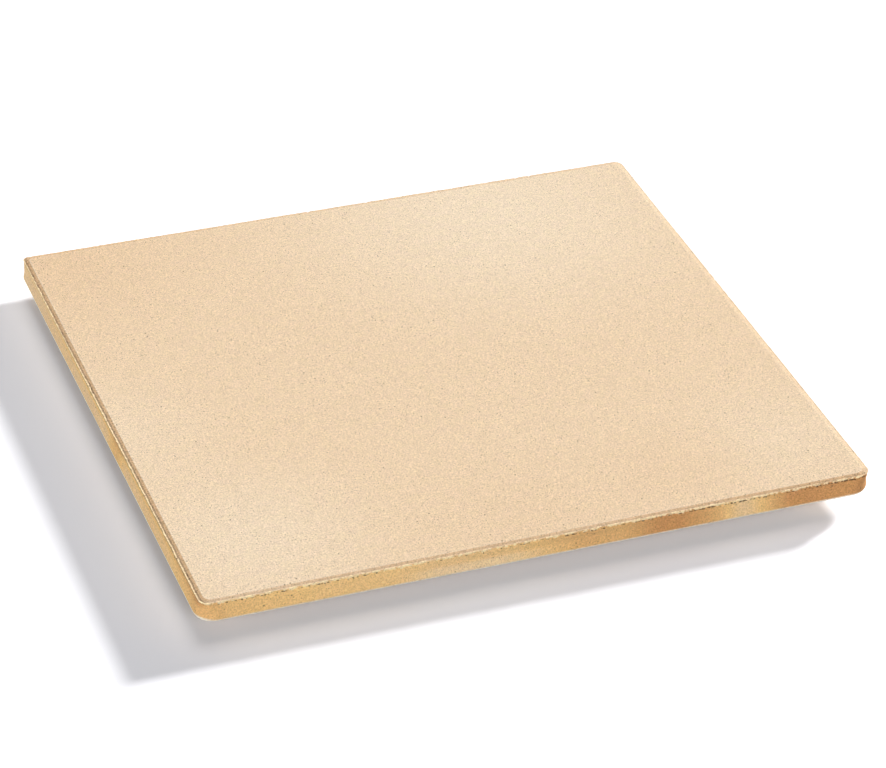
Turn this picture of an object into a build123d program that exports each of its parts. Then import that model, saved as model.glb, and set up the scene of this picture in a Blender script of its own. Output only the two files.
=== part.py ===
from build123d import *
import os

# A rectangular baking stone for the oven: a pressed and fired cordierite slab on four low feet.
# Lengths are in millimetres. The origin is on the surface that the stone stands on, under the
# middle of the slab. X runs along the long side to the right, Y towards the back and Z up.

os.makedirs("parts", exist_ok=True)

# Slab: a rounded rectangle, widest at its base. The walls lean in to the rim, and over the flare
# height below it the corners sharpen, so the rim stands proud there. From the rim a narrow sloping
# band rises to the baking face.
slab_width = 380.0
slab_depth = 355.0
slab_thickness = 12.5
base_corner_radius = 12.5
wall_corner_radius = 10.5
rim_corner_radius = 4.8
corner_flare_height = 5.0
wall_lean = 1.9
rim_band_width = 3.2
rim_band_drop = 0.5
bottom_edge_radius = 2.5

# Height of the slab's underside above the surface, open all round for hot air and fingers
air_gap = 9.0

# Feet: low round discs, wider at the slab, each with a spigot that sits in a blind socket
foot_inset = 60.0
foot_base_radius = 14.0
foot_shoulder_radius = 17.0
foot_edge_radius = 1.5
spigot_radius = 10.0
spigot_height = 6.0
spigot_chamfer = 1.0

# Refractory cement: one even layer over each spigot and shoulder, wiped to a hollow bead outside
cement_thickness = 0.5
bead_width = 2.0
bead_drop = 1.5
bead_hollow = 0.3

# Heights above the surface, worked out from the sizes above
underside_height = air_gap
top_height = underside_height + slab_thickness
rim_height = top_height - rim_band_drop
flare_start_height = rim_height - corner_flare_height
shoulder_height = underside_height - cement_thickness
spigot_top_height = shoulder_height + spigot_height
socket_top_height = spigot_top_height + cement_thickness
bead_foot_height = shoulder_height - bead_drop

# Outlines of the rim, where the walls end and the band begins, and where the corners start to flare
rim_width = slab_width - 2 * wall_lean
rim_depth = slab_depth - 2 * wall_lean
lean_below_flare = wall_lean * (flare_start_height - underside_height) / (rim_height - underside_height)
flare_start_width = slab_width - 2 * lean_below_flare
flare_start_depth = slab_depth - 2 * lean_below_flare

# Radii about a foot's axis, the third where the bead ends on the foot's sloping side
socket_radius = spigot_radius + cement_thickness
foot_flare = (foot_shoulder_radius - foot_base_radius) / shoulder_height
bead_foot_radius = foot_base_radius + foot_flare * bead_foot_height
bead_slab_radius = foot_shoulder_radius + bead_width

# Places of the feet, set in from the slab's sides
foot_x = slab_width / 2 - foot_inset
foot_y = slab_depth / 2 - foot_inset
foot_places = {
    "front_left": (-foot_x, -foot_y),
    "front_right": (foot_x, -foot_y),
    "back_left": (-foot_x, foot_y),
    "back_right": (foot_x, foot_y),
}


def foot_plane(place):
    """The upright plane through a foot's axis: X is the distance from the axis and Y the height."""
    return Plane(origin=(place[0], place[1], 0), x_dir=(1, 0, 0), z_dir=(0, -1, 0))


def foot_axis(place):
    """The upright axis of the foot at this place."""
    return Axis((place[0], place[1], 0), (0, 0, 1))


# Slab, with a blind socket in its underside for each foot
with BuildPart() as baking_slab:
    with BuildSketch(Plane.XY.offset(underside_height)):
        RectangleRounded(slab_width, slab_depth, base_corner_radius)
    with BuildSketch(Plane.XY.offset(flare_start_height)):
        RectangleRounded(flare_start_width, flare_start_depth, wall_corner_radius)
    loft(ruled=True)
    fillet(baking_slab.edges().group_by(Axis.Z)[0], radius=bottom_edge_radius)
    with BuildSketch(Plane.XY.offset(flare_start_height)):
        RectangleRounded(flare_start_width, flare_start_depth, wall_corner_radius)
    with BuildSketch(Plane.XY.offset(rim_height)):
        RectangleRounded(rim_width, rim_depth, rim_corner_radius)
    loft(ruled=True)
    with BuildSketch(Plane.XY.offset(rim_height)):
        RectangleRounded(rim_width, rim_depth, rim_corner_radius)
    with BuildSketch(Plane.XY.offset(top_height)):
        RectangleRounded(
            rim_width - 2 * rim_band_width,
            rim_depth - 2 * rim_band_width,
            rim_corner_radius - rim_band_width,
        )
    loft(ruled=True)
    with BuildSketch(Plane.XY.offset(underside_height)):
        with Locations(*foot_places.values()):
            Circle(socket_radius)
    extrude(amount=socket_top_height - underside_height, mode=Mode.SUBTRACT)
baking_slab.part.label = "baking_slab"
export_step(baking_slab.part, "parts/baking_slab.step")

for place_name, place in foot_places.items():
    # Foot: a flat base with a rounded edge, flared sides, a shoulder and the spigot
    with BuildPart() as foot:
        with BuildSketch(foot_plane(place)):
            with BuildLine():
                Polyline(
                    (0, 0),
                    (foot_base_radius, 0),
                    (foot_shoulder_radius, shoulder_height),
                    (spigot_radius, shoulder_height),
                    (spigot_radius, spigot_top_height),
                    (0, spigot_top_height),
                    close=True,
                )
            make_face()
        revolve(axis=foot_axis(place))
        fillet(foot.edges().group_by(Axis.Z)[0], radius=foot_edge_radius)
        chamfer(foot.edges().group_by(Axis.Z)[-1], length=spigot_chamfer)
    foot.part.label = "foot_" + place_name
    export_step(foot.part, "parts/foot_" + place_name + ".step")

    # Cement: what is left of the socket and the bead round the shoulder once the foot is in
    with BuildPart() as cement:
        with BuildSketch(foot_plane(place)):
            with BuildLine():
                bead = SagittaArc(
                    (bead_foot_radius, bead_foot_height),
                    (bead_slab_radius, underside_height),
                    bead_hollow,
                )
                Polyline(
                    bead @ 1,
                    (socket_radius, underside_height),
                    (socket_radius, socket_top_height),
                    (0, socket_top_height),
                    (0, bead_foot_height),
                    bead @ 0,
                )
            make_face()
        revolve(axis=foot_axis(place))
        add(foot.part, mode=Mode.SUBTRACT)
    cement.part.label = "cement_" + place_name
    export_step(cement.part, "parts/cement_" + place_name + ".step")
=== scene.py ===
import functools
import itertools
import math

import bmesh
import bpy
import numpy as np
from mathutils import Matrix, Vector


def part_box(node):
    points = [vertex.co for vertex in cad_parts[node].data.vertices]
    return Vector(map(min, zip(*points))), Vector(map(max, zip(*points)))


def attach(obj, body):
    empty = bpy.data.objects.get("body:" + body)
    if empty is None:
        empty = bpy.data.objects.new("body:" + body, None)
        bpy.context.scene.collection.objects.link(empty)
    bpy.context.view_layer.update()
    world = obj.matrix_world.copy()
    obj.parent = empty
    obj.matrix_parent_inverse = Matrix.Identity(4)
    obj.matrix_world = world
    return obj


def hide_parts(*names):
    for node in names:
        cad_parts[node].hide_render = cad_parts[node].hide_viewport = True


bl_info = {
    "name": "Baking Stone",
    "version": (1, 0, 0),
    "blender": (4, 5, 0),
    "location": "3D View > Sidebar > Baking Stone",
    "description": "Surfaces and finishes of a pressed and fired baking stone on four cemented feet",
    "category": "Add Mesh",
}

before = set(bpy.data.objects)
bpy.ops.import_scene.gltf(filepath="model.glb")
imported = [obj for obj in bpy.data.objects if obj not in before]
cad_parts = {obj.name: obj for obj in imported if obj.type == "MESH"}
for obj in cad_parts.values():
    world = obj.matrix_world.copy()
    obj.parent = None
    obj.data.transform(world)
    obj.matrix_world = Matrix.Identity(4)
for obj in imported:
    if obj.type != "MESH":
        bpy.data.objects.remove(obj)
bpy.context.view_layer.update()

MM = 0.001
SLAB_LOW, SLAB_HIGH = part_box("baking_slab")
PLACES = ("front_left", "front_right", "back_left", "back_right")

# Columns of points round the slab's edge: along the front and back, along each end and round a corner
LONG_COLUMNS = 672
SHORT_COLUMNS = 632
CORNER_COLUMNS = 16
# The faces' grid has one line for so many columns of the edge
THINNING = 8
# Columns round a foot
FOOT_COLUMNS = 96
# Rows of the slab's profile on the bottom edge's arc, up the wall and over the band
ARC_ROWS = 8
WALL_ROWS = 12
BAND_ROWS = 9
# Stretches of painted shade, and of painted light below zero, first on the walls and then on the face: x and y
# # of the middle, reach and share. On the walls they stand in for light that falls unevenly, and the right wall
# is
# # darkened against the key lamp's strong light on it
WALL_PAINTED_SHADE = (
    (26, -177, 45, 0.35), (71, -177, 37, 0.9), (113, -177, 16, -0.7), (154, -177, 30, 0.95),
    (184, -177, 30, 1.0), (-184, -171, 14, 0.35), (-44, -177, 60, -0.2), (-189, 20, 260, -0.5),
    (-189, 150, 70, -0.35), (-189, -24, 24, 0.7), (189, 0, 300, 0.85), (189, -60, 70, 0.3),
    (137, -177, 14, 0.2), (-189, -170, 60, 0.3), (189, 90, 60, -0.15), (120, 177, 50, 0.7),
    (-60, 177, 80, -0.4),
)
# On the face they paint its uneven light: paler towards the back right, darker at the back left corner and
# along the front
FACE_PAINTED_SHADE = (
    (-190, 178, 140, 0.35), (90, 150, 180, -0.4), (90, -140, 60, 0.15), (160, -130, 80, -0.15),
    (-190, -20, 80, -0.2), (-150, -130, 100, -0.3), (0, -170, 100, 0.15),
)
# Each lamp's azimuth, elevation and width in degrees, its share of the light on the face and its tint
LAMPS = {
    "key": (118.2, 20.6, 8, 0.56, "warm_tint"),
    "top": (155, 66, 34, 0.16, "warm_tint"),
    "fill": (-60, 15, 25, 0.15, "cool_tint"),
    "front": (0, 25, 30, 0.11, "cool_tint"),
}

length_property = functools.partial(bpy.props.FloatProperty, unit="LENGTH", precision=5)
angle_property = functools.partial(bpy.props.FloatProperty, subtype="ANGLE")
share_property = functools.partial(bpy.props.FloatProperty, min=0, max=1, subtype="FACTOR")
colour_property = functools.partial(bpy.props.FloatVectorProperty, subtype="COLOR", min=0, max=1)


def hex_to_linear(code):
    """An sRGB hex colour as linear red, green and blue."""
    srgb = np.array([int(code[k:k + 2], 16) for k in (0, 2, 4)]) / 255
    linear = np.where(srgb <= 0.04045, srgb / 12.92, ((srgb + 0.055) / 1.055) ** 2.4)
    return tuple(linear.tolist())


class SlabSizes(bpy.types.PropertyGroup):
    """Sizes of the slab's edge and of its unevenness."""

    wall_lean: length_property(
        name="Wall lean", description="How far a wall leans in from the base to the rim", default=1.9 * MM)
    base_corner_radius: length_property(
        name="Base corner radius", description="Radius of the upright corners at the underside",
        default=11 * MM)
    wall_corner_radius: length_property(
        name="Wall corner radius", description="Radius of the corners where they start to flare",
        default=10.5 * MM)
    rim_corner_radius: length_property(
        name="Rim corner radius", description="Radius of the corners where the walls end", default=4.8 * MM)
    corner_flare_height: length_property(
        name="Corner flare height", description="Height below the rim over which the corners sharpen",
        default=6.2 * MM)
    corner_skew: length_property(
        name="Corner skew", description="How much blunter the right front corner is, and sharper its opposite",
        default=1.4 * MM)
    bottom_edge_radius: length_property(
        name="Bottom edge radius", description="Rounding between the walls and the underside",
        default=2.5 * MM)
    rim_band_width: length_property(
        name="Rim band width", description="Width of the sloping band between the walls and the baking face",
        default=3.2 * MM)
    rim_band_drop: length_property(
        name="Rim band drop", description="How far the band falls from the baking face to the rim",
        default=0.5 * MM)
    burr_height: length_property(
        name="Burr height", description="Usual height of the broken ridge that pressing leaves along the rim",
        default=0.4 * MM)
    burr_width: length_property(
        name="Burr width", description="Half width of the ridge along the rim", default=0.45 * MM)
    wall_unevenness: length_property(
        name="Wall unevenness", description="How far the walls and the band wander from true",
        default=0.06 * MM)
    face_unevenness: length_property(
        name="Face unevenness", description="Depth of the shallow waves in the baking face",
        default=0.06 * MM)
    chip_count: bpy.props.IntProperty(
        name="Chips", description="How many small chips there are along the rim", default=46, min=1)
    chip_radius: length_property(
        name="Largest chip", description="Radius of the largest chip", default=1.3 * MM)


class FootSizes(bpy.types.PropertyGroup):
    """Sizes of the feet and of the cement that bonds them."""

    base_radius: length_property(
        name="Base radius", description="Radius where the foot's side would meet the table", default=14 * MM)
    shoulder_radius: length_property(
        name="Shoulder radius", description="Radius of the foot at its shoulder, just below the slab",
        default=17 * MM)
    edge_radius: length_property(
        name="Edge radius", description="Rounding of the foot's lower edge", default=1.5 * MM)
    spigot_radius: length_property(
        name="Spigot radius", description="Radius of the spigot that sits in the slab's socket",
        default=10 * MM)
    spigot_chamfer: length_property(
        name="Spigot chamfer", description="Chamfer round the spigot's top", default=1 * MM)
    cement_thickness: length_property(
        name="Cement thickness", description="Layer of cement over the spigot and the shoulder",
        default=0.5 * MM)
    bead_width: length_property(
        name="Bead width", description="How far the bead of cement runs out past the shoulder",
        default=2 * MM)
    bead_drop: length_property(
        name="Bead drop", description="How far the bead runs down the foot's side", default=1.5 * MM)
    bead_hollow: length_property(
        name="Bead hollow", description="How far a fingertip has hollowed the bead", default=0.3 * MM)
    unevenness: length_property(
        name="Unevenness", description="How far the foot's side wanders from true", default=0.07 * MM)


class Finishes(bpy.types.PropertyGroup):
    """Colours of the fired clay and the cement, some of them painted shade and light, and the size of their
    grain.
    """

    face_colour: colour_property(
        name="Baking face", description="Colour of the pressed face", default=hex_to_linear("E9CFAE"))
    # The band's colour is partly its own rougher tone and partly painted shade, and it also darkens the face's
    # stretches of painted shade
    band_colour: colour_property(
        name="Rim band", description="Colour of the rougher band round the face",
        default=hex_to_linear("DEB88D"))
    # Painted shade: the walls' colour is yellower than the face's to give them the warm tint of their shade
    wall_colour: colour_property(
        name="Walls", description="Colour of the walls, which the kiln toasts a little more",
        default=hex_to_linear("F6CB89"))
    # Painted shade: this colour darkens the walls' stretches of painted shade, such as the right wall against
    # the key lamp's light
    toasted_colour: colour_property(
        name="Toasted walls", description="Colour of the stretches of wall that fired hotter",
        default=hex_to_linear("D09860"))
    # The crests' pale colour is partly the ridge's own clay and partly a painted highlight
    burr_colour: colour_property(
        name="Burr", description="Colour of the crests of the burr", default=hex_to_linear("FFE8BA"))
    # The pale colour paints highlights on the bottom edge and the face's edge on the left, painted light on the
    # front wall and the face, and real wear on the feet
    pale_colour: colour_property(
        name="Rubbed edges", description="Colour of rubbed edges, and of the palest part of the face",
        default=hex_to_linear("F6EAD4"))
    speck_colour: colour_property(
        name="Specks", description="Colour of the iron specks and open pores",
        default=hex_to_linear("5E4630"))
    foot_colour: colour_property(
        name="Feet", description="Colour of the feet", default=hex_to_linear("DFC197"))
    cement_colour: colour_property(
        name="Cement", description="Colour of the refractory cement", default=hex_to_linear("CDC3B0"))
    grain_size: length_property(
        name="Grain size", description="Usual width of a grain in the pressed clay", default=0.3 * MM)


class StageSettings(bpy.types.PropertyGroup):
    """Camera, lamps and table."""

    camera_azimuth: angle_property(
        name="Camera azimuth", description="Direction of the camera, from straight in front round to the right",
        default=math.radians(-21.476))
    camera_elevation: angle_property(
        name="Camera elevation", description="Height of the camera above the horizon",
        default=math.radians(33.520))
    camera_roll: angle_property(
        name="Camera roll", description="Turn of the camera about its own line of sight",
        default=math.radians(2.039))
    camera_distance: length_property(
        name="Camera distance", description="Distance from the aim to the camera", default=1.98706)
    camera_aim: bpy.props.FloatVectorProperty(
        name="Camera aim", description="Point that the camera looks at",
        default=(5.428 * MM, -6.698 * MM, 9.106 * MM), unit="LENGTH", precision=5)
    camera_lens: bpy.props.FloatProperty(
        name="Focal length", description="Focal length in millimetres on a sensor 36 mm wide", default=144.269)
    room_share: share_property(
        name="Room light", description="Share of the light on the face that comes evenly from all round",
        default=0.02)
    warm_tint: colour_property(
        name="Warm tint", description="Colour of the key and overhead lamps",
        default=(1.01, 1.0, 0.985), max=2)
    cool_tint: colour_property(
        name="Cool tint", description="Colour of the fill lamp, the front lamp and the room",
        default=(0.99, 1.0, 1.02), max=2)
    table_colour: colour_property(
        name="Table", description="Colour of the table, as it lights the stone from below",
        default=hex_to_linear("D0D0D0"))
    table_brightness: colour_property(
        name="Table in view", description="How bright the table shows where the light is full; 1 is white",
        default=(1.30, 1.30, 1.355), max=2)


def lamp_properties():
    """The settings of each lamp, by name."""
    found = {}
    for lamp, (azimuth, elevation, width, share, _) in LAMPS.items():
        title = lamp.capitalize()
        found |= {
            lamp + "_azimuth": angle_property(
                name=title + " azimuth", default=math.radians(azimuth),
                description="Direction of the lamp, from straight in front round to the right"),
            lamp + "_elevation": angle_property(
                name=title + " elevation", default=math.radians(elevation),
                description="Height of the lamp above the table"),
            lamp + "_width": angle_property(
                name=title + " width", default=math.radians(width),
                description="Angle that the lamp fills, which softens its shadow"),
            lamp + "_share": share_property(
                name=title + " light", default=share,
                description="Share of the light on the face that comes from the lamp"),
        }
    return found


StageSettings.__annotations__.update(lamp_properties())


def lumps(points, spacing, seed):
    """Smooth random heights from -1 to 1 at points in space.
    Random numbers stand on a cubic lattice of this spacing, and between them the height is their blend
    by smoothstep, three f squared less two f cubed, in x, y and z."""
    tile = 64
    lattice = np.random.default_rng(seed).uniform(-1, 1, (tile, tile, tile))
    place = points / spacing
    cell = np.floor(place).astype(int)
    f = place - cell
    f = f * f * (3 - 2 * f)
    height = np.zeros(points.shape[:-1])
    for corner in itertools.product((0, 1), repeat=3):
        weight = np.prod(np.where(np.array(corner) == 1, f, 1 - f), axis=-1)
        i, j, k = np.moveaxis((cell + np.array(corner)) % tile, -1, 0)
        height += weight * lattice[i, j, k]
    return height


def bell(x, middle, width):
    """1 where x is at the middle, and e to minus the square of the distance over the width elsewhere."""
    return np.exp(-((x - middle) / width) ** 2)


def ramp(x, start, end):
    """Smoothstep of x: 0 before start, 1 after end, three t squared less two t cubed between."""
    t = np.clip((x - start) / (end - start), 0, 1)
    return t * t * (3 - 2 * t)


def fired(points, spots):
    """How much painted shade each point gets, and painted light below zero: each spot adds its share at its
    middle, less by smoothstep further out, and nothing at its reach."""
    return sum(share * ramp(-np.linalg.norm(points[..., :2] - (x * MM, y * MM), axis=-1), -reach * MM, 0)
               for x, y, reach, share in spots)


def closed_quads(rows, columns):
    """Four-sided faces between rows of points that each close on themselves."""
    row = np.arange(rows - 1)[:, None] * columns
    column = np.arange(columns)
    after = (column + 1) % columns
    corners = [row + column, row + after, row + columns + after, row + columns + column]
    return np.stack(corners, axis=-1).reshape(-1, 4)


class Patchwork:
    """Patches of one piece: their points, their values by name and their faces."""

    def __init__(self):
        self.points = []
        self.values = []
        self.faces = []
        self.count = 0

    def add(self, points, faces, **values):
        """Adds a patch. Each value is one number for every point, or the same number for all."""
        points = points.reshape(-1, 3)
        full = {name: np.broadcast_to(np.ravel(value), len(points)) for name, value in values.items()}
        self.points.append(points)
        self.values.append(full)
        self.faces += [face + self.count for face in faces]
        self.count += len(points)

    def weld(self, name, material, stands_for):
        """Makes the piece: points of different patches that coincide are joined, the faces of the closed
        surface are turned outwards, and the object takes the place of the node that it stands for."""
        mesh = bpy.data.meshes.new(name)
        faces = [face for group in self.faces for face in group.tolist()]
        mesh.from_pydata(np.concatenate(self.points).tolist(), [], faces)
        for key in self.values[0]:
            value = np.concatenate([patch[key] for patch in self.values])
            mesh.attributes.new(key, "FLOAT", "POINT").data.foreach_set("value", value.astype(np.float32))
        surface = bmesh.new()
        surface.from_mesh(mesh)
        bmesh.ops.remove_doubles(surface, verts=surface.verts, dist=MM / 1000)
        bmesh.ops.recalc_face_normals(surface, faces=surface.faces)
        surface.to_mesh(mesh)
        surface.free()
        mesh.shade_smooth()
        mesh.materials.append(material)
        piece = bpy.data.objects.new(name, mesh)
        bpy.context.scene.collection.objects.link(piece)
        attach(piece, "root")
        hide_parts(stands_for)
        return piece


def outline_walk():
    """Walk round a rounded rectangle, anticlockwise from the middle of the front left corner.
    square is each point's place in the rectangle of corner centres, from -1 to 1 each way, and facing is
    its outward direction. A point of the outline is square times half the centres' distance plus facing
    times the corner radius."""
    angles, squares = [], []
    half_turn = CORNER_COLUMNS // 2
    signs = ((-1, -1), (1, -1), (1, 1), (-1, 1))
    counts = (LONG_COLUMNS, SHORT_COLUMNS, LONG_COLUMNS, SHORT_COLUMNS)
    for k, count in enumerate(counts):
        start, end = np.array(signs[k]), np.array(signs[(k + 1) % 4])
        side_angle = (k - 1) * np.pi / 2
        turn = np.arange(half_turn) / half_turn * np.pi / 4
        share = np.arange(count)[:, None] / count
        angles += [side_angle - np.pi / 4 + turn, np.full(count, side_angle), side_angle + turn]
        squares += [np.tile(start, (half_turn, 1)), start + (end - start) * share, np.tile(end, (half_turn, 1))]
    angle = np.concatenate(angles)
    return np.concatenate(squares), np.stack([np.cos(angle), np.sin(angle)], axis=-1)


def outline_rows(half, inset, radius, height, square, facing, skew):
    """Rows of points, one for each inset, corner radius and height of the profile:
    square times half the size less the inset and the radius, plus facing times the radius. The radius grows
    by the skew towards the right front corner and shrinks by it towards the left back one."""
    turned = np.maximum(radius[:, None] + skew * (square[:, 0] - square[:, 1]) / 2, MM / 5)[..., None]
    flat = square * (half - inset[:, None, None] - turned) + facing * turned
    upright = np.broadcast_to(height[:, None, None], flat.shape[:2] + (1,))
    return np.concatenate([flat, upright], axis=-1)


def coons_grid(loop, across, along):
    """Grid that fills a closed loop of points, by the rule of Coons: the blend of the front and back
    edges, plus the blend of the left and right edges, less the blend of the four corners."""
    front = loop[:across + 1]
    right = loop[across:across + along + 1]
    back = loop[across + along:2 * across + along + 1][::-1]
    left = np.concatenate([loop[2 * across + along:], loop[:1]])[::-1]
    u = np.linspace(0, 1, across + 1)[None, :, None]
    v = np.linspace(0, 1, along + 1)[:, None, None]
    sides = (1 - v) * front + v * back
    ends = (1 - u) * left[:, None] + u * right[:, None]
    corners = (1 - v) * ((1 - u) * front[0] + u * front[-1]) + v * ((1 - u) * back[0] + u * back[-1])
    return sides + ends - corners


def slab_profile(sizes):
    """Profile of the slab's edge, from the underside round the bottom edge, up the wall and over the rim to
    the face. The wall goes in by its lean over its height while the corner radius falls straight from the
    base's to the wall's and then, over the flare, to the rim's. The bottom edge is an arc that touches the
    underside and the wall, and the band rises straight from the rim. Returns inset, corner radius, height,
    the way along the profile from the rim and the angle above the level that the surface faces."""
    base, top = SLAB_LOW.z, SLAB_HIGH.z
    rim = top - sizes.rim_band_drop
    slope = sizes.wall_lean / (rim - base)
    wall_angle = np.arctan(slope)
    arc_radius = sizes.bottom_edge_radius
    arc_inset = arc_radius * (np.hypot(1, slope) + slope)
    land = sizes.rim_band_width / 2

    turn = np.linspace(-np.pi / 2, wall_angle, ARC_ROWS)
    arc = arc_inset - arc_radius * np.cos(turn), base + arc_radius + arc_radius * np.sin(turn)
    fall = (1 - np.linspace(0, 1, WALL_ROWS)[1:]) ** 2 * (rim - arc[1][-1])
    wall = sizes.wall_lean - fall * slope, rim - fall
    rise = np.append(np.linspace(0, 0.9, BAND_ROWS)[1:] ** 1.5, 1)
    band = sizes.wall_lean + sizes.rim_band_width * rise, rim + sizes.rim_band_drop * rise
    inner = sizes.wall_lean + sizes.rim_band_width + land * np.array([0.1, 0.5])
    inset = np.concatenate([[arc_inset + land], arc[0], wall[0], band[0], inner])
    height = np.concatenate([[base], arc[1], wall[1], band[1], np.full(2, top)])

    up = (np.clip(height, base, rim) - base) / (rim - base)
    wall_radius = np.interp(
        height, [base, rim - sizes.corner_flare_height, rim],
        [sizes.base_corner_radius, sizes.wall_corner_radius, sizes.rim_corner_radius])
    radius = wall_radius - (inset - sizes.wall_lean * up) * np.where(height > rim, 0.3, 1)
    way = np.concatenate([[0], np.cumsum(np.hypot(np.diff(inset), np.diff(height)))])
    way -= way[np.argmin(np.abs(height - rim))]
    band_angle = np.pi / 2 - np.arctan(sizes.rim_band_drop / sizes.rim_band_width)
    angle = wall_angle + (band_angle - wall_angle) * ramp(way, -sizes.burr_width, sizes.burr_width)
    angle[1:ARC_ROWS + 1] = turn
    angle[0] = -np.pi / 2
    angle[-3:] = np.pi / 2
    return inset, radius, height, way, angle


def chips(points, centres, radii):
    """Depth of the chips at each point: a third of a chip's radius at its centre, less the square of the
    distance over the radius, and nothing past it."""
    reach = np.linalg.norm(points[..., None, :] - centres, axis=-1) / radii
    return (radii / 3 * np.clip(1 - reach ** 2, 0, None)).max(axis=-1)


def sides(square, facing):
    """How far each column of the walk is on the left, right, back and front, and on the front's right part."""
    left, right, back, front = (np.clip(facing @ side, 0, 1) for side in ((-1, 0), (1, 0), (0, 1), (0, -1)))
    return left, right, back, front, ramp(square[:, 0], 0.1, 0.9) * front


def rim_crest(edge, square, facing):
    """The broken ridge's height as a share of its usual one: three sizes of lumps, more at the corners,
    strongest along the front and low along the right and the back."""
    left, right, back, _, front_right = sides(square, facing)
    crest = 0.5 * lumps(edge, 1.3 * MM, 4) + 0.5 * lumps(edge, 0.7 * MM, 5) + 0.4 * lumps(edge, 30 * MM, 6)
    corner = (np.abs(facing).min(axis=-1) > 0.1) * (0.35 - 0.45 * square[:, 0])
    strength = 1 - 0.3 * left - 0.65 * np.maximum(right, back) - 0.25 * front_right
    return (crest + 0.55 + corner) * strength


def roughened(edge, way, angle, facing, crest, sizes):
    """The edge, moved in or out the way it faces: walls and band wander a little, and the rim carries its
    ridge between two faint grooves, with a few chips on it and on the edge of the face."""
    wander = 0.4 * lumps(edge, 22 * MM, 1) + 0.35 * lumps(edge, 6 * MM, 2) + 0.25 * lumps(edge, 1.8 * MM, 3) - 1
    free = ramp(way, way[1], way[ARC_ROWS])[:, None] * ramp(-way, -way[-3], -0.6 * way[-3])[:, None]
    ridge = bell(way, 0, sizes.burr_width)[:, None] * np.clip(crest, 0, 1.2)
    groove = bell(np.abs(way), 2 * sizes.burr_width, sizes.burr_width)[:, None]
    push = sizes.wall_unevenness * wander * free + sizes.burr_height * (ridge - 0.3 * groove * free)

    random = np.random.default_rng(7)
    chip_row = random.choice([np.argmin(np.abs(way)), len(way) - 3], sizes.chip_count, p=[0.75, 0.25])
    chip_centres = edge[chip_row, random.integers(0, edge.shape[1], sizes.chip_count)]
    chip_radii = sizes.chip_radius * random.uniform(0.35, 1, sizes.chip_count) ** 2
    push -= chips(edge, chip_centres, chip_radii) * (1 + 0.4 * lumps(edge, 0.9 * MM, 8))
    outward = facing * np.cos(angle)[:, None, None]
    upward = np.broadcast_to(np.sin(angle)[:, None, None], outward.shape[:2] + (1,))
    return edge + np.concatenate([outward, upward], axis=-1) * push[..., None]


def settled(points, sizes):
    """Points with the face's shallow waves: always below the true plane, fading out down the band."""
    waves = 1 + 0.6 * lumps(points, 42 * MM, 9) + 0.4 * lumps(points, 13 * MM, 10)
    share = ramp(points[..., 2], SLAB_HIGH.z - sizes.rim_band_drop, SLAB_HIGH.z)
    sunk = points.copy()
    sunk[..., 2] = np.minimum(sunk[..., 2], SLAB_HIGH.z) - share * waves * sizes.face_unevenness / 2
    return sunk


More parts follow.
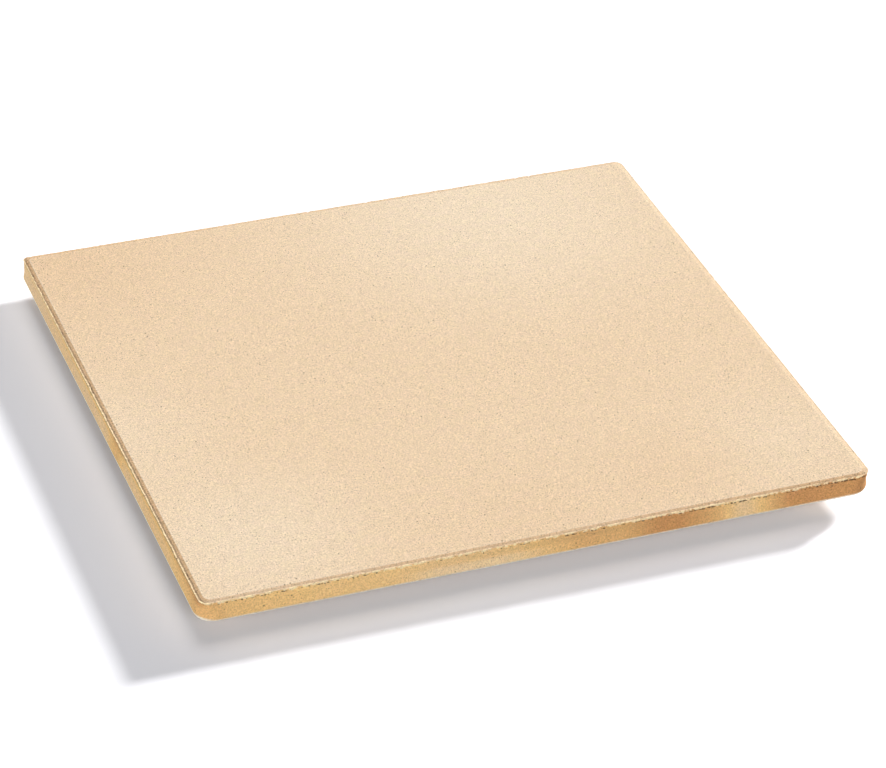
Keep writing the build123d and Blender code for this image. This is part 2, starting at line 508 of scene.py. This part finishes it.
def edge_values(edge, way, angle, square, facing, crest, burr_width):
    """What the material reads at each point of the edge. Lines beside the rim are bells of the distance
    from it in half widths of the ridge, upwards over the band and, below zero, down the wall."""
    left, right, back, front, front_right = sides(square, facing)
    upright = (way < 0) * (way > way[0])
    wall = ramp(-way, -0.4 * burr_width, 0.4 * burr_width) * ramp(way, way[1], way[ARC_ROWS - 2])
    # Painted shade, and painted light below zero, from the face's stretches above the rim and the walls' below
    # it
    toast = np.where(way[:, None] > 0, fired(edge, FACE_PAINTED_SHADE), fired(edge, WALL_PAINTED_SHADE))
    toast[0] = 0
    # Besides the band's own rougher tone, its cover paints shade: darkest on the left and at the edge of the
    # face,
    # # nearly like the face on the right, and darker where stretches of shade are painted
    band = (0.58 + 0.32 * left - 0.4 * right - 0.1 * back + 0.42 * front_right
            + 0.12 * lumps(edge, 16 * MM, 11) + 0.5 * np.clip(toast, 0, 1))
    band = band * (0.85 + 0.3 * ramp(way, 0.5 * way[-3], 0.7 * way[-3])[:, None])
    # Along the front half of the left side the band is a little wider, and its lines lie further in
    nearer = left * ramp(-square[:, 1], -0.6, 0)
    inwards = ramp(-way[:, None] / way[-3], -0.97 - 0.1 * nearer, -0.72 - 0.26 * nearer)
    sloping = ((1 - wall) * ramp(way, way[ARC_ROWS - 2], way[ARC_ROWS]))[:, None] * inwards
    # Bright crests lie on the rim and just below it, their pale clay partly a painted highlight, and painted
    # shade
    # # lies in hollows under them and, on the left, above them too
    beside = (way[:, None] - 0.3 * MM * lumps(edge, 2.5 * MM, 12)) / burr_width
    # The crests' brightness is partly the ridge's own pale clay and partly a painted highlight, kept on along
    # the left
    bright = np.clip(1.3 * crest, 0, 1) * (1 - 0.8 * left) + 0.53 * left
    bright = bright * bell(beside, 0.6 * left + 0.9 * nearer - 0.6, 1.5 - 0.6 * left)
    under_rim = bell(beside, 0.9 * left - 2.6, 1.2)
    inner_line = bell(beside, 1.7 + 0.9 * nearer, 0.8) * left
    groove_shade_marks = under_rim * (0.3 - 0.08 * left + 0.22 * front_right) + 0.15 * inner_line
    groove_shade_marks += sloping * (0.08 * left + 0.14 * ramp(square[:, 0], 0.4, 0.9) * front_right)
    # On the left, painted shade lies in two fine lines, below and above the bright one
    smudge = left * (0.15 + 0.55 * nearer) * bell(beside, 0.9 * nearer - 1.6, 0.8) + 0.55 * inner_line
    # On the front the painted shade is fainter: a line in the band, and the top of the wall near the middle
    smudge += front * 0.16 * bell(beside, 3, 1.3)
    smudge += front * 0.13 * np.exp(-(square[:, 0] / 0.35) ** 4) * bell(beside, -6, 4)
    # Painted shade lies just under the rim on the left
    shaded = left * (1 - 0.6 * ramp(square[:, 1], 0.2, 0.7))
    toast += 0.5 * shaded * bell(beside, -3, 3) * (way[:, None] < 0)
    # A painted highlight runs along the bottom edge, and along the edge of the face on the left
    rubbed = ramp(0.25 * left - angle[:, None], 0.1, 0.3) * upright[:, None]
    rubbed[-3] = 0.35 + 0.4 * left - 0.6 * nearer
    rubbed[-2] = 0.5 * nearer
    # Left of the middle the front's wall is paler over its lower half: painted light from the table in front
    table_light_painted = np.exp(-((square[:, 0] + 0.22) / 0.2) ** 4) * front
    rubbed += 0.27 * table_light_painted * (ramp(-way, 4 * MM, 7 * MM) * upright)[:, None]
    return {
        "wall": np.repeat(wall, len(square)), "band": np.clip(band * sloping, 0, 1), "burr": bright,
        "dirt": groove_shade_marks, "smudge": smudge, "rub": np.clip(rubbed, 0, 1), "toast": toast}


def socket_patch(block, axis, roof, radius):
    """The blind socket that takes the place of a block of the underside: rows of points from the block's
    outline over the socket's mouth and up its side, and a fan in the middle of its roof."""
    radii = radius * np.array([1.2, 1, 1, 1, 0.6, 0.25])
    heights = np.array([SLAB_LOW.z, SLAB_LOW.z, (SLAB_LOW.z + roof) / 2, roof, roof, roof])
    spokes = block[:, :2] - np.array(axis[:2])
    spokes /= np.linalg.norm(spokes, axis=-1, keepdims=True)
    rows = np.array(axis[:2]) + spokes * radii[:, None, None]
    rows = np.concatenate([rows, np.broadcast_to(heights[:, None, None], rows.shape[:2] + (1,))], axis=-1)
    points = np.concatenate([block, *rows, [[axis.x, axis.y, roof]]])
    last = len(rows) * len(block) + np.arange(len(block))
    fan = np.stack([last, np.roll(last, -1), np.full(len(block), len(points) - 1)], axis=-1)
    return points, [closed_quads(len(rows) + 1, len(block)), fan]


class BAKING_STONE_OT_slab(bpy.types.Operator):
    """Add the slab: the edge carried round its outline, the face, and the underside with its sockets"""

    bl_idname = "baking_stone.slab"
    bl_label = "Slab"

    def execute(self, context):
        sizes = context.scene.slab_sizes
        feet = context.scene.foot_sizes
        square, facing = outline_walk()
        inset, radius, height, way, angle = slab_profile(sizes)
        centre = (SLAB_LOW + SLAB_HIGH) / 2
        # The CAD box is widest on the bottom edge's rounding, a little inside the corner that it rounds
        overhang = inset[1:ARC_ROWS + 1].min()
        half = np.array([SLAB_HIGH.x - centre.x, SLAB_HIGH.y - centre.y]) + overhang
        edge = outline_rows(half, inset, radius, height, square, facing, sizes.corner_skew)
        crest = rim_crest(edge, square, facing)
        edge = roughened(edge, way, angle, facing, crest, sizes)

        # Faces: a coarser loop just inside the edge's first and last row, filled by a grid
        step = sizes.rim_band_width / 2
        loops = outline_rows(
            half, inset[[0, -1]] + step, radius[[0, -1]] / 2, height[[0, -1]],
            square[::THINNING], facing[::THINNING], sizes.corner_skew / 2)
        across = (LONG_COLUMNS + CORNER_COLUMNS) // THINNING
        along = (SHORT_COLUMNS + CORNER_COLUMNS) // THINNING
        under, face = coons_grid(loops[0], across, along), coons_grid(loops[1], across, along)
        edge, face, loops[1] = (settled(points, sizes) for points in (edge, face, loops[1]))

        slab = Patchwork()
        columns = len(square)
        slab.add(edge, [closed_quads(len(way), columns)],
                 **edge_values(edge, way, angle, square, facing, crest, sizes.burr_width))
        flat = dict.fromkeys(("wall", "band", "burr", "dirt", "smudge", "rub"), 0)
        for row, loop, spots in ((edge[0], loops[0], ()), (edge[-1], loops[1], FACE_PAINTED_SHADE)):
            strip = np.concatenate([row, loop])
            slab.add(strip, self.thinning_faces(columns), toast=fired(strip, spots), **flat)
        index = np.arange((across + 1) * (along + 1)).reshape(along + 1, across + 1)
        cells = np.stack([index[:-1, :-1], index[:-1, 1:], index[1:, 1:], index[1:, :-1]], axis=-1)
        slab.add(face, [cells.reshape(-1, 4)], toast=fired(face, FACE_PAINTED_SHADE), **flat)

        # Sockets: each takes the place of a block of the underside's cells round its foot
        kept = np.ones(cells.shape[:2], bool)
        for place in PLACES:
            foot_low, foot_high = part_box("foot_" + place)
            axis = (foot_low + foot_high) / 2
            i = np.abs(under[along // 2, :, 0] - axis.x).argmin()
            j = np.abs(under[:, across // 2, 1] - axis.y).argmin()
            reach = int(np.ceil(1.5 * feet.spigot_radius / (under[j, i + 1, 0] - under[j, i, 0])))
            kept[j - reach:j + reach, i - reach:i + reach] = False
            block = np.concatenate([
                under[j - reach, i - reach:i + reach], under[j - reach:j + reach, i + reach],
                under[j + reach, i + reach:i - reach:-1], under[j + reach:j - reach:-1, i - reach]])
            points, faces = socket_patch(
                block, axis, foot_high.z + feet.cement_thickness, feet.spigot_radius + feet.cement_thickness)
            slab.add(points, faces, toast=0, **flat)
        slab.add(under, [cells[kept][:, ::-1]], toast=0, **flat)
        finish = pressed_cordierite(context.scene.finishes)
        slab.weld("baking_slab_surface", finish, "baking_slab")
        return {"FINISHED"}

    @staticmethod
    def thinning_faces(columns):
        """Triangles between a row of columns and a loop with one point for every few of them.
        Half of the columns over a gap of the loop meet the gap's first point and half its last."""
        first = np.arange(columns // THINNING) * THINNING
        inner = columns + np.arange(columns // THINNING)
        inner_after = np.roll(inner, -1)
        middle = THINNING // 2
        fans = [np.stack([first + k, (first + k + 1) % columns, inner if k < middle else inner_after], axis=-1)
                for k in range(THINNING)]
        return [np.concatenate(fans + [np.stack([first + middle, inner_after, inner], axis=-1)])]


def turned_patch(axis, radius, height):
    """A closed turned surface about an upright axis: the point of a row at an angle is the axis plus the
    row's radius along that angle, at the row's height. Radius and height hold one number for each row or
    one for each row and column, and the first and last row end in a point on the axis."""
    angle = np.arange(FOOT_COLUMNS) / FOOT_COLUMNS * 2 * np.pi
    radius, height = np.broadcast_arrays(radius, height, np.empty((len(radius), FOOT_COLUMNS)))[:2]
    rows = np.stack([axis.x + radius * np.cos(angle), axis.y + radius * np.sin(angle), height], axis=-1)
    poles = [[axis.x, axis.y, height[0, 0]], [axis.x, axis.y, height[-1, 0]]]
    points = np.concatenate([rows.reshape(-1, 3), poles])
    column = np.arange(FOOT_COLUMNS)
    after = np.roll(column, -1)
    count = rows.shape[0] * FOOT_COLUMNS
    last = count - FOOT_COLUMNS
    first_fan = np.stack([after, column, np.full(FOOT_COLUMNS, count)], axis=-1)
    last_fan = np.stack([last + column, last + after, np.full(FOOT_COLUMNS, count + 1)], axis=-1)
    return points, [closed_quads(rows.shape[0], FOOT_COLUMNS), first_fan, last_fan]


class BAKING_STONE_OT_feet(bpy.types.Operator):
    """Add the four feet: turned discs with a rounded lower edge, flared sides and a spigot"""

    bl_idname = "baking_stone.feet"
    bl_label = "Feet"

    def execute(self, context):
        sizes = context.scene.foot_sizes
        finish = foot_cordierite(context.scene.finishes)
        shoulder = SLAB_LOW.z - sizes.cement_thickness
        flare = (sizes.shoulder_radius - sizes.base_radius) / shoulder
        edge = sizes.edge_radius
        edge_middle = sizes.base_radius + edge * (flare - math.hypot(1, flare))
        turn = np.linspace(-np.pi / 2, -math.atan(flare), 8)
        side = np.linspace(edge + edge * np.sin(turn[-1]), shoulder, 12)[1:]
        for k, place in enumerate(PLACES):
            low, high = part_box("foot_" + place)
            axis = (low + high) / 2
            spigot = sizes.spigot_radius
            chamfer = sizes.spigot_chamfer
            radius = np.concatenate([
                edge_middle * np.array([0.35, 0.7]), edge_middle + edge * np.cos(turn),
                sizes.base_radius + flare * side, [spigot, spigot, spigot - chamfer, spigot / 2]])
            height = np.concatenate([
                [0, 0], edge + edge * np.sin(turn), side, [shoulder, high.z - chamfer, high.z, high.z]])
            points, faces = turned_patch(axis, radius[:, None], height[:, None])
            # The side wanders a little above the base and below the cement
            level = points[:, 2]
            drop = sizes.bead_drop
            shown = ramp(level, 0, edge) * ramp(-level, drop / 2 - shoulder, drop - shoulder)
            wander = 0.6 * lumps(points, 7 * MM, 20 + k) + 0.4 * lumps(points, 2 * MM, 30 + k)
            spoke = points[:, :2] - np.array(axis[:2])
            spoke /= np.maximum(np.linalg.norm(spoke, axis=-1, keepdims=True), MM)
            points[:, :2] += spoke * (sizes.unevenness * wander * shown)[:, None]
            foot = Patchwork()
            foot.add(points, faces, rub=1 - ramp(level, 0, edge / 2))
            foot.weld("foot_" + place + "_surface", finish, "foot_" + place)
        return {"FINISHED"}


class BAKING_STONE_OT_cement(bpy.types.Operator):
    """Add the cement: what fills each socket round its spigot, and the bead wiped round the shoulder"""

    bl_idname = "baking_stone.cement"
    bl_label = "Cement"

    def execute(self, context):
        sizes = context.scene.foot_sizes
        finish = refractory_cement(context.scene.finishes)
        underside = SLAB_LOW.z
        shoulder = underside - sizes.cement_thickness
        flare = (sizes.shoulder_radius - sizes.base_radius) / shoulder
        angle = np.arange(FOOT_COLUMNS) / FOOT_COLUMNS * 2 * np.pi
        across = np.linspace(0, 1, 9)[:, None]
        for k, place in enumerate(PLACES):
            low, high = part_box("foot_" + place)
            axis = (low + high) / 2
            circle = np.stack([np.cos(angle), np.sin(angle), np.zeros_like(angle)], axis=-1)
            # The bead runs from the foot's side to the slab on a hollow curve: the straight line between
            # its two edges, less four t times one less t of the hollow. Both edges wander round the foot.
            drop = sizes.bead_drop * (1 + 0.3 * lumps(circle, 0.5, 40 + k))
            reach = sizes.bead_width * (1 + 0.35 * lumps(circle, 0.35, 50 + k))
            foot_height = shoulder - drop
            foot_radius = sizes.base_radius + flare * foot_height
            bead_radius = foot_radius + across * (sizes.shoulder_radius + reach - foot_radius)
            bead_height = foot_height + across * (underside - foot_height)
            hollow = 4 * across * (1 - across) * sizes.bead_hollow
            hollow = hollow * (1 + 0.5 * lumps(circle, 0.2, 60 + k)) / math.sqrt(2)
            spigot, chamfer, layer = sizes.spigot_radius, sizes.spigot_chamfer, sizes.cement_thickness
            inside = np.array([
                [spigot / 2, high.z], [spigot - chamfer, high.z], [spigot, high.z - chamfer],
                [spigot, shoulder], [sizes.shoulder_radius, shoulder]])
            outside = np.array([
                [spigot + layer, underside], [spigot + layer, high.z + layer], [spigot / 2, high.z + layer]])
            columns = np.ones(FOOT_COLUMNS)
            radius = np.concatenate([
                inside[:, :1] * columns, bead_radius - hollow, outside[:, :1] * columns])
            height = np.concatenate([
                inside[:, 1:] * columns, bead_height + hollow, outside[:, 1:] * columns])
            points, faces = turned_patch(axis, radius, height)
            cement = Patchwork()
            cement.add(points, faces, bead=1)
            cement.weld("cement_" + place + "_surface", finish, "cement_" + place)
        return {"FINISHED"}


def set_inputs(tree, node, values):
    """Sets a node's inputs to numbers or links them to other nodes' outputs."""
    for name, value in values.items():
        if isinstance(value, bpy.types.NodeSocket):
            tree.links.new(value, node.inputs[name])
        else:
            node.inputs[name].default_value = value


def add_node(tree, kind, links=None, **settings):
    """Adds a node, with its settings and with numbers or other nodes' outputs for its inputs."""
    node = tree.nodes.new(kind)
    for name, value in settings.items():
        setattr(node, name, value)
    set_inputs(tree, node, links or {})
    return node


def new_material(name):
    """A material with its tree, its shader and its place in the object's own coordinates."""
    material = bpy.data.materials.new(name)
    material.use_nodes = True
    tree = material.node_tree
    shader = tree.nodes["Principled BSDF"]
    return material, tree, shader, add_node(tree, "ShaderNodeTexCoord").outputs["Object"]


def opaque(finishes, *names):
    """Each named colour of the finishes with full cover as its fourth number."""
    return ((*getattr(finishes, name + "_colour"), 1) for name in names)


def clay_patterns(tree, place, finishes):
    """The patterns that all pressed clay here shares, as outputs from 0 to 1: grain of the set size, single
    grains that differ in tone, mottling 25 mm across from uneven firing, and clouds 7 mm across from uneven
    filling of the mould."""
    grain, mottling, clouds = (
        add_node(tree, "ShaderNodeTexNoise", {
            "Vector": place, "Scale": 1 / width, "Detail": detail, "Roughness": rough}).outputs["Fac"]
        for width, detail, rough in ((finishes.grain_size, 2.0, 0.6), (25 * MM, 3.0, 0.5), (7 * MM, 2.0, 0.55)))
    cells = add_node(tree, "ShaderNodeTexVoronoi", {"Vector": place, "Scale": 0.64 / finishes.grain_size})
    single = add_node(tree, "ShaderNodeSeparateColor", {"Color": cells.outputs["Color"]}).outputs["Red"]
    return grain, single, mottling, clouds


def scattered_balls(tree, place, spacing, radius, share):
    """1 inside balls of this radius and 0 outside. Their centres are scattered with this usual spacing, and
    only this share of them is kept, by the red of each cell's own random colour."""
    cells = add_node(tree, "ShaderNodeTexVoronoi", {"Vector": place, "Scale": 1 / spacing})
    pick = add_node(tree, "ShaderNodeSeparateColor", {"Color": cells.outputs["Color"]}).outputs["Red"]
    kept = add_node(tree, "ShaderNodeMath", {0: pick, 1: share}, operation="LESS_THAN").outputs[0]
    ball = add_node(tree, "ShaderNodeMapRange", {
        "Value": cells.outputs["Distance"], "From Min": 0.7 * radius / spacing, "From Max": radius / spacing,
        "To Min": 1.0, "To Max": 0.0}).outputs[0]
    return add_node(tree, "ShaderNodeMath", {0: ball, 1: kept}, operation="MULTIPLY").outputs[0]


def weighted_sum(tree, start, *terms):
    """start plus each output times its weight, which is a number or another output."""
    total = start
    for output, weight in terms:
        links = {0: output, 1: weight, 2: total}
        total = add_node(tree, "ShaderNodeMath", links, operation="MULTIPLY_ADD").outputs[0]
    return total


def lightness(tree, *terms):
    """1 plus, for each output, its distance above or below a half times its weight."""
    return weighted_sum(tree, 1 - 0.5 * sum(weight for output, weight in terms), *terms)


def layered(tree, base, *layers):
    """The base colour under layers, each with its cover from 0 to 1 and its colour."""
    for cover, colour in layers:
        base = add_node(tree, "ShaderNodeMix", {0: cover, 6: base, 7: colour}, data_type="RGBA").outputs[2]
    return base


def pressed_cordierite(finishes):
    """Cordierite, dry-pressed and fired without glaze: a matt, sandy, cream surface. The eye sees single
    grains, faint warm mottling, a few iron specks and a rough pale ridge along the rim, where the clay was
    squeezed between the halves of the mould. Over this lie painted shade and light: walls coloured yellower
    for the warm tint of their shade, darker and paler stretches, crests partly a painted highlight, shade
    in hollows and fine lines beside the rim, and a highlight along the bottom edge."""
    material, tree, shader, place = new_material("cordierite_pressed_and_fired")
    face_colour, band_colour, wall_colour, toasted_colour, burr_colour, pale_colour, speck_colour = opaque(
        finishes, "face", "band", "wall", "toasted", "burr", "pale", "speck")
    grain, single, mottling, clouds = clay_patterns(tree, place, finishes)
    wall, band, burr, dirt, smudge, rub, toast = (
        add_node(tree, "ShaderNodeAttribute", attribute_name=name).outputs["Fac"]
        for name in ("wall", "band", "burr", "dirt", "smudge", "rub", "toast"))
    cells = add_node(tree, "ShaderNodeTexVoronoi", {"Vector": place, "Scale": 1 / (0.95 * MM)}).outputs
    crumbs = add_node(tree, "ShaderNodeSeparateColor", {"Color": cells["Color"]}).outputs
    # Painted shade, and painted light below zero, with real mottling added for the walls
    shade_and_mottling = weighted_sum(tree, -0.15, (toast, 1.0), (mottling, 0.3))
    crumbly_burr = weighted_sum(tree, -0.3, (burr, 1.0), (crumbs["Green"], 0.6))
    crumbly_groove_shade = weighted_sum(tree, -0.3, (dirt, 1.0), (crumbs["Blue"], 0.6))
    # Covers from 0 to 1: how far each value has gone from its low mark to its high one
    drift, cloudy, wall_shade_cover, wall_light_cover, shade_cover, light_cover, crest, pits, loose = (
        add_node(tree, "ShaderNodeMapRange", {"Value": value, "From Min": low, "From Max": high}).outputs[0]
        for value, low, high in (
            (mottling, 0.42, 0.65), (clouds, 0.35, 0.65), (shade_and_mottling, 0.0, 1.0), (shade_and_mottling, 0.0, -1.0),
            (toast, 0.0, 1.0), (toast, 0.0, -1.0), (crumbly_burr, 0.3, 0.45), (crumbly_groove_shade, 0.4, 0.5),
            (crumbs["Red"], 0.5, 1.0)))
    # Iron specks and fine dots come in drifts
    specks = scattered_balls(tree, place, 4 * MM, 0.45 * MM, weighted_sum(tree, 0.0, (drift, 0.45)))
    dots = scattered_balls(tree, place, 1.5 * MM, 0.32 * MM, weighted_sum(tree, 0.12, (drift, 0.6)))

    # Colour: the zone's own colour with its painted shade and light, tinted and made lighter or darker by the
    # grain,
    # # then the dark specks and the painted shade beside the rim
    walls_with_shade = layered(tree, wall_colour, (wall_shade_cover, toasted_colour), (wall_light_cover, face_colour))
    zoned = layered(tree, face_colour, (shade_cover, band_colour), (light_cover, pale_colour), (band, band_colour),
                    (wall, walls_with_shade), (crest, burr_colour), (rub, pale_colour))
    tint = layered(tree, (1.01, 1.0, 1.02, 1), (cloudy, (0.995, 1.0, 0.98, 1)))
    # Most grains are near the full tone, and a few are much darker
    dull = add_node(tree, "ShaderNodeMath", {0: single, 1: 3.0}, operation="POWER").outputs[0]
    grains = layered(tree, (1.06, 1.065, 1.07, 1), (dull, (0.84, 0.81, 0.765, 1)))
    toned = zoned
    for factor in (tint, grains):
        toned = add_node(tree, "ShaderNodeVectorMath", {0: toned, 1: factor}, operation="MULTIPLY").outputs[0]
    light = lightness(tree, (grain, 0.7), (mottling, 0.06), (clouds, 0.05), (cells["Distance"], 0.4))
    toned = add_node(tree, "ShaderNodeVectorMath", {0: toned, "Scale": light}, operation="SCALE").outputs[0]
    torn = weighted_sum(tree, 0.0, (band, loose))
    # Dark marks: real iron specks, dots and torn band, and painted shade in hollows and fine lines beside the
    # rim
    dark = weighted_sum(tree, 0.0, (dots, 0.7), (specks, 0.95), (pits, 0.9), (torn, 0.35), (smudge, 1.0))

    # Relief: grains stand out by about a twentieth of a millimetre, and dark spots are pits
    relief = weighted_sum(tree, 0.0, (grain, 1.0), (dull, -0.4), (dark, -1.5), (crest, 0.5))
    bump = add_node(tree, "ShaderNodeBump", {"Height": relief, "Distance": 0.07 * MM, "Strength": 1.0})
    set_inputs(tree, shader, {
        "Base Color": layered(tree, toned, (dark, speck_colour)), "Normal": bump.outputs["Normal"],
        "Roughness": weighted_sum(tree, 0.82, (grain, 0.16)), "IOR": 1.54, "Specular IOR Level": 0.3})
    return material


def foot_cordierite(finishes):
    """Cordierite of the feet, pressed in a small die: the same clay, a little darker and smoother than the
    slab's, rubbed pale where the base slides on the rack."""
    material, tree, shader, place = new_material("cordierite_of_the_feet")
    foot_colour, pale_colour, speck_colour = opaque(finishes, "foot", "pale", "speck")
    grain, single, mottling, clouds = clay_patterns(tree, place, finishes)
    rub = add_node(tree, "ShaderNodeAttribute", attribute_name="rub").outputs["Fac"]
    specks = scattered_balls(tree, place, 3 * MM, 0.35 * MM, 0.5)
    rubbed = layered(tree, foot_colour, (weighted_sum(tree, 0.0, (rub, clouds)), pale_colour))
    light = lightness(tree, (grain, 0.16), (single, 0.1), (mottling, 0.08))
    toned = add_node(tree, "ShaderNodeVectorMath", {0: rubbed, "Scale": light}, operation="SCALE").outputs[0]
    specked = layered(tree, toned, (weighted_sum(tree, 0.0, (specks, 0.7)), speck_colour))
    relief = weighted_sum(tree, 0.0, (grain, 1.0), (single, 0.3), (specks, -0.8))
    bump = add_node(tree, "ShaderNodeBump", {"Height": relief, "Distance": 0.07 * MM, "Strength": 1.0})
    set_inputs(tree, shader, {
        "Base Color": specked, "Normal": bump.outputs["Normal"],
        "Roughness": 0.88, "IOR": 1.54, "Specular IOR Level": 0.3})
    return material


def refractory_cement(finishes):
    """Refractory cement, wiped with a fingertip and dried: greyer and sandier than the fired clay, with
    low drag marks that run round the foot, and damp patches 9 mm across."""
    material, tree, shader, place = new_material("refractory_cement_wiped")
    # The drag marks are long round the foot and 0.7 mm apart in height
    drawn = add_node(tree, "ShaderNodeMapping", {"Vector": place, "Scale": (0.15, 0.15, 1.0)}).outputs[0]
    sand, drag, damp = (
        add_node(tree, "ShaderNodeTexNoise", {
            "Vector": spot, "Scale": 1 / width, "Detail": detail, "Roughness": rough}).outputs["Fac"]
        for spot, width, detail, rough in (
            (place, 0.8 * MM, 3.0, 0.7), (drawn, 0.7 * MM, 1.0, 0.5), (place, 9 * MM, 2.0, 0.5)))
    light = lightness(tree, (sand, 0.25), (drag, 0.12), (damp, 0.14))
    toned = add_node(tree, "ShaderNodeVectorMath", {
        0: tuple(finishes.cement_colour), "Scale": light}, operation="SCALE").outputs[0]
    relief = weighted_sum(tree, 0.0, (sand, 1.0), (drag, 0.9))
    bump = add_node(tree, "ShaderNodeBump", {"Height": relief, "Distance": 0.15 * MM, "Strength": 1.0})
    set_inputs(tree, shader, {
        "Base Color": toned, "Normal": bump.outputs["Normal"], "Roughness": 0.93, "Specular IOR Level": 0.3})
    return material


def seen_rays(tree):
    """1 for rays that end in the picture, straight from the camera or by a reflection or through glass."""
    path = add_node(tree, "ShaderNodeLightPath")
    either = add_node(tree, "ShaderNodeMath", {
        0: path.outputs["Is Camera Ray"], 1: path.outputs["Is Glossy Ray"]}, operation="MAXIMUM").outputs[0]
    return add_node(tree, "ShaderNodeMath", {
        0: either, 1: path.outputs["Is Transmission Ray"]}, operation="MAXIMUM").outputs[0]


def direction(azimuth, elevation):
    """Unit vector at an azimuth from straight in front round to the right, and an elevation."""
    return Vector((
        math.sin(azimuth) * math.cos(elevation), -math.cos(azimuth) * math.cos(elevation), math.sin(elevation)))


class BAKING_STONE_OT_stage(bpy.types.Operator):
    """Add the table, the lamps, the room's even light and the camera"""

    bl_idname = "baking_stone.stage"
    bl_label = "Stage"

    def execute(self, context):
        stage = context.scene.stage_settings
        context.scene.view_settings.view_transform = "Standard"
        self.add_camera(context, stage)
        for lamp, (*_, tint) in LAMPS.items():
            settings = [getattr(stage, lamp + end) for end in ("_azimuth", "_elevation", "_width", "_share")]
            self.add_sun(context, lamp + "_lamp", getattr(stage, tint), *settings)
        self.light_room(context, stage)
        self.add_table(context, stage)
        return {"FINISHED"}

    @staticmethod
    def add_camera(context, stage):
        """The camera looks at its aim from its distance, turned about its line of sight by the roll."""
        data = bpy.data.cameras.new("camera")
        data.sensor_width = 36
        data.lens = stage.camera_lens
        data.clip_end = 100
        camera = bpy.data.objects.new("camera", data)
        back = direction(stage.camera_azimuth, stage.camera_elevation)
        right = Vector((math.cos(stage.camera_azimuth), math.sin(stage.camera_azimuth), 0))
        turn = Matrix.Rotation(stage.camera_roll, 3, back)
        right = turn @ right
        axes = Matrix((right, back.cross(right), back)).transposed()
        place = Vector(stage.camera_aim) + back * stage.camera_distance
        camera.matrix_world = Matrix.Translation(place) @ axes.to_4x4()
        context.scene.collection.objects.link(camera)
        context.scene.camera = camera

    @staticmethod
    def add_sun(context, name, tint, azimuth, elevation, width, share):
        """A lamp so far away that it lights evenly. A level white face gets its share of full light, so its
        strength is the share times pi over the sine of the elevation."""
        data = bpy.data.lights.new(name, "SUN")
        data.angle = width
        data.color = tint
        data.energy = share * math.pi / math.sin(elevation)
        lamp = bpy.data.objects.new(name, data)
        lamp.rotation_mode = "QUATERNION"
        lamp.rotation_quaternion = direction(azimuth, elevation).to_track_quat("Z", "Y")
        context.scene.collection.objects.link(lamp)

    @staticmethod
    def light_room(context, stage):
        """Even light from all round, with the background white where it shows in the picture."""
        world = bpy.data.worlds.new("room")
        world.use_nodes = True
        context.scene.world = world
        tree = world.node_tree
        even = [stage.room_share * part for part in stage.cool_tint]
        colour = layered(tree, (*even, 1), (seen_rays(tree), (1, 1, 1, 1)))
        set_inputs(tree, tree.nodes["Background"], {"Color": colour})

    @staticmethod
    def add_table(context, stage):
        """A wide matt table. It shows white where the light is full and keeps the stone's shadow, and from
        below it is clear."""
        reach = 20
        mesh = bpy.data.meshes.new("table")
        mesh.from_pydata([(-reach, -reach, 0), (reach, -reach, 0), (reach, reach, 0), (-reach, reach, 0)], [],
                         [(0, 1, 2, 3)])
        material = bpy.data.materials.new("matt_white_table")
        material.use_nodes = True
        tree = material.node_tree
        tree.nodes.remove(tree.nodes["Principled BSDF"])
        colour = layered(tree, (*stage.table_colour, 1), (seen_rays(tree), (*stage.table_brightness, 1)))
        matt = add_node(tree, "ShaderNodeBsdfDiffuse", {"Color": colour}).outputs[0]
        clear = add_node(tree, "ShaderNodeBsdfTransparent").outputs[0]
        under = add_node(tree, "ShaderNodeNewGeometry").outputs["Backfacing"]
        shown = add_node(tree, "ShaderNodeMixShader", {0: under, 1: matt, 2: clear}).outputs[0]
        set_inputs(tree, tree.nodes["Material Output"], {"Surface": shown})
        mesh.materials.append(material)
        table = bpy.data.objects.new("table", mesh)
        context.scene.collection.objects.link(table)


class BAKING_STONE_PT_sidebar(bpy.types.Panel):
    """Sizes, finishes and stage of the baking stone, with a button for each group of pieces"""

    bl_label = "Baking Stone"
    bl_idname = "BAKING_STONE_PT_sidebar"
    bl_space_type = "VIEW_3D"
    bl_region_type = "UI"
    bl_category = "Baking Stone"

    def draw(self, context):
        scene = context.scene
        for settings in (scene.slab_sizes, scene.foot_sizes, scene.finishes, scene.stage_settings):
            box = self.layout.box()
            for name in settings.__annotations__:
                box.prop(settings, name)
        for operator in OPERATORS:
            self.layout.operator(operator.bl_idname)


OPERATORS = (BAKING_STONE_OT_stage, BAKING_STONE_OT_slab, BAKING_STONE_OT_feet, BAKING_STONE_OT_cement)
SETTINGS = {
    "slab_sizes": SlabSizes,
    "foot_sizes": FootSizes,
    "finishes": Finishes,
    "stage_settings": StageSettings,
}


def register():
    for cls in (*SETTINGS.values(), *OPERATORS, BAKING_STONE_PT_sidebar):
        bpy.utils.register_class(cls)
    for name, cls in SETTINGS.items():
        setattr(bpy.types.Scene, name, bpy.props.PointerProperty(type=cls))


def unregister():
    for name in SETTINGS:
        delattr(bpy.types.Scene, name)
    for cls in (BAKING_STONE_PT_sidebar, *reversed(OPERATORS), *reversed(list(SETTINGS.values()))):
        bpy.utils.unregister_class(cls)


def main():
    register()
    bpy.ops.baking_stone.stage()
    bpy.ops.baking_stone.slab()
    bpy.ops.baking_stone.feet()
    bpy.ops.baking_stone.cement()


if __name__ == "__main__":
    main()
